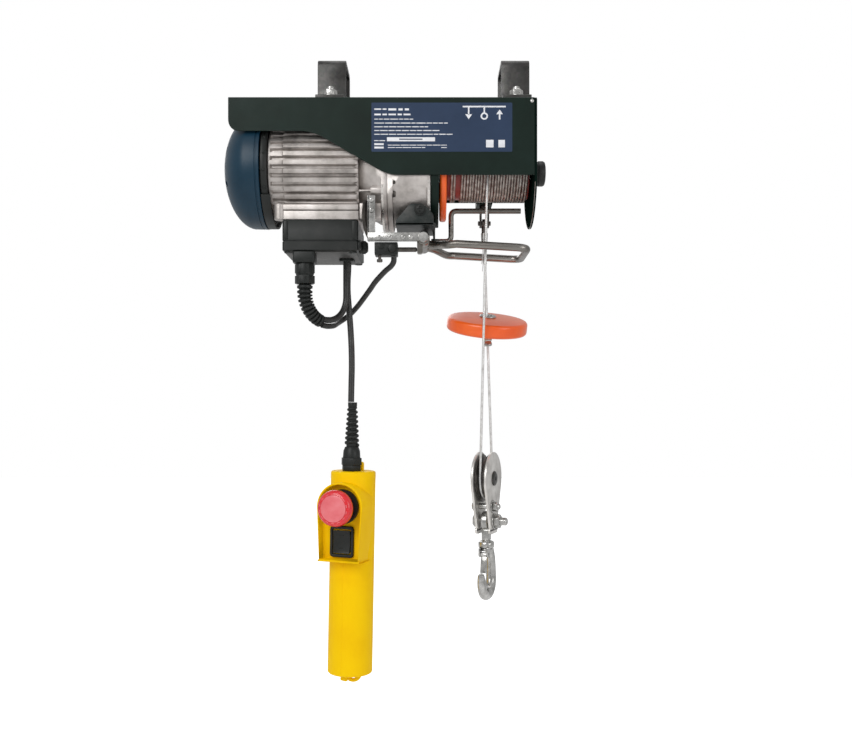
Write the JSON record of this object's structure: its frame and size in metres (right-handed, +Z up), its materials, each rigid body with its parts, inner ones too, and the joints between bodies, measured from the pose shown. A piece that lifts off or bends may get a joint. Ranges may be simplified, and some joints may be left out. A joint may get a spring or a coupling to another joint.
{
  "type": "electric wire rope hoist",
  "caption": "Electric wire rope hoist on two pole clamps: finned motor, geared drum, hook block, overwind limit gear and hanging pendant control.",
  "frame": {"origin": "top face of the raised pole seat on the frame's top plate, midway between the two pole clamps", "axes": "+X along the drum from the motor to the free end, +Y to the rear, +Z up"},
  "size_m": [0.3592, 0.1322, 0.6863],
  "materials": {
    "black_paint": "satin powder coat",
    "galvanised": "galvanised, slightly weathered",
    "cast_aluminium": "bare die casting",
    "blue_cover": "satin dark blue",
    "black_plastic": "moulded, fine grain",
    "orange_paint": "gloss orange",
    "drum_paint": "red oxide paint",
    "wire_rope": "stranded steel wire",
    "zinc": "bright zinc plate",
    "copper": "varnished copper winding",
    "yellow_plastic": "moulded yellow",
    "red_plastic": "glossy red",
    "cable_rubber": "smooth black sheath"
  },
  "bodies": {
    "frame": {"housing": "black_paint", "inner_plate": "black_paint", "end_plate": "black_paint", "axle_cap": "black_plastic", "pole_clamp_left": "galvanised", "pole_clamp_right": "galvanised", "fan_cover": "blue_cover", "rear_shield": "black_plastic", "rear_bearing": "galvanised", "stator_housing": "cast_aluminium", "stator_core": "copper", "front_bell": "cast_aluminium", "front_bearing": "galvanised", "brake_coil": "copper", "gearbox_case": "cast_aluminium", "drum_bearing": "galvanised", "terminal_box": "black_plastic", "capacitor": "zinc", "cable_gland": "black_plastic", "gland_relief": "black_plastic", "inlet_gland": "black_plastic", "limit_bracket": "zinc", "lever_support": "black_paint", "limit_switch": "black_plastic", "anchor_bracket": "black_paint", "rope_anchor": "zinc", "rope_falls": "wire_rope", "stop_sleeve": "zinc", "pendant_front": "yellow_plastic", "pendant_back": "yellow_plastic", "pendant_gland": "black_plastic", "pendant_cable": "cable_rubber", "limit_cable": "cable_rubber", "loop_cable": "cable_rubber"},
    "rotor": {"rotor_shaft": "galvanised", "rotor_core": "cast_aluminium", "fan": "black_plastic", "brake_disc": "black_plastic"},
    "layshaft": {"layshaft": "galvanised", "layshaft_gear": "galvanised"},
    "drum": {"drum": "drum_paint", "drum_shaft": "galvanised", "drum_flange": "orange_paint", "output_gear": "galvanised", "rope_winding": "wire_rope"},
    "hook_block": {"block_plate_left": "galvanised", "block_plate_right": "galvanised", "sheave_pin": "galvanised", "crosshead_bolt": "galvanised"},
    "sheave": {"sheave": "zinc"},
    "hook_eye": {"hook_eye": "galvanised"},
    "hook": {"hook": "galvanised"},
    "latch": {"latch": "galvanised"},
    "limit_weight": {"limit_weight": "orange_paint"},
    "upper_lever": {"upper_lever": "zinc"},
    "lower_lever": {"lower_lever": "zinc"},
    "switch_rod": {"switch_rod": "black_plastic"},
    "estop_stem": {"estop_stem": "black_plastic"},
    "estop_button": {"estop_button": "red_plastic"},
    "rocker_key": {"rocker_key": "black_plastic"}
  },
  "joints": [
    {"name": "drum_spin", "type": "hinge", "parent": "frame", "child": "drum", "pos_m": [0, 0, -0.07], "axis": [-1, 0, 0], "range_deg": [-2232, 409]},
    {"name": "rotor_spin", "type": "hinge", "parent": "frame", "child": "rotor", "pos_m": [0, 0, -0.07], "axis": [-1, 0, 0], "continuous": true},
    {"name": "layshaft_spin", "type": "hinge", "parent": "frame", "child": "layshaft", "pos_m": [0, 0, -0.0995], "axis": [-1, 0, 0], "continuous": true},
    {"name": "hook_lift", "type": "slide", "parent": "frame", "child": "hook_block", "axis": [0, 0, 1], "range_m": [-0.6, 0.11], "deforming": ["rope_falls"]},
    {"name": "sheave_spin", "type": "hinge", "parent": "hook_block", "child": "sheave", "pos_m": [0.0707, -0.001, -0.4135], "axis": [0.9336, -0.3584, 0], "continuous": true},
    {"name": "hook_swing", "type": "hinge", "parent": "hook_block", "child": "hook_eye", "pos_m": [0.0707, -0.001, -0.4615], "axis": [0.9336, -0.3584, 0], "range_deg": [-25, 25]},
    {"name": "hook_swivel", "type": "hinge", "parent": "hook_eye", "child": "hook", "pos_m": [0.0707, -0.001, -0.488], "axis": [0, 0, 1], "continuous": true},
    {"name": "latch_hinge", "type": "hinge", "parent": "hook", "child": "latch", "pos_m": [0.06783, -0.00847, -0.4985], "axis": [0.9336, -0.3584, 0], "range_deg": [0, 40], "stiffness_Nm_per_rad": 0.02, "springref_deg": -14.32},
    {"name": "limit_weight_slide", "type": "slide", "parent": "frame", "child": "limit_weight", "axis": [-0.0325, 0.0259, 0.9991], "range_m": [0, 0.057]},
    {"name": "upper_lever_hinge", "type": "hinge", "parent": "frame", "child": "upper_lever", "pos_m": [0, 0, -0.15], "axis": [0, -1, 0], "range_deg": [0, 10]},
    {"name": "switch_rod_slide", "type": "slide", "parent": "frame", "child": "switch_rod", "axis": [1, 0, 0], "range_m": [0, 0.0018]},
    {"name": "lower_lever_hinge", "type": "hinge", "parent": "frame", "child": "lower_lever", "pos_m": [0.0085, 0.005, -0.1455], "axis": [1, 0, 0], "range_deg": [0, 10], "stiffness_Nm_per_rad": 0.15, "springref_deg": -5.73},
    {"name": "estop_push", "type": "slide", "parent": "frame", "child": "estop_stem", "axis": [0.3173, 0.9483, -0.0055], "range_m": [0, 0.0045]},
    {"name": "estop_twist", "type": "hinge", "parent": "estop_stem", "child": "estop_button", "pos_m": [-0.09525, -0.02967, -0.44415], "axis": [0.3173, 0.9483, -0.0055], "range_deg": [0, 45], "stiffness_Nm_per_rad": 0.02},
    {"name": "rocker_tilt", "type": "hinge", "parent": "frame", "child": "rocker_key", "pos_m": [-0.08927, -0.00976, -0.48325], "axis": [0.9482, -0.3173, -0.0166], "range_deg": [-8, 8], "stiffness_Nm_per_rad": 0.05}
  ],
  "couplings": [
    {"joint": "rotor_spin", "follows": "drum_spin", "ratio": 24.01},
    {"joint": "layshaft_spin", "follows": "drum_spin", "ratio": -4.9},
    {"joint": "hook_lift", "follows": "drum_spin", "m_per_rad": 0.0154},
    {"joint": "sheave_spin", "follows": "drum_spin", "ratio": -0.6844},
    {"joint": "switch_rod_slide", "follows": "upper_lever_hinge", "m_per_rad": 0.01}
  ]
}
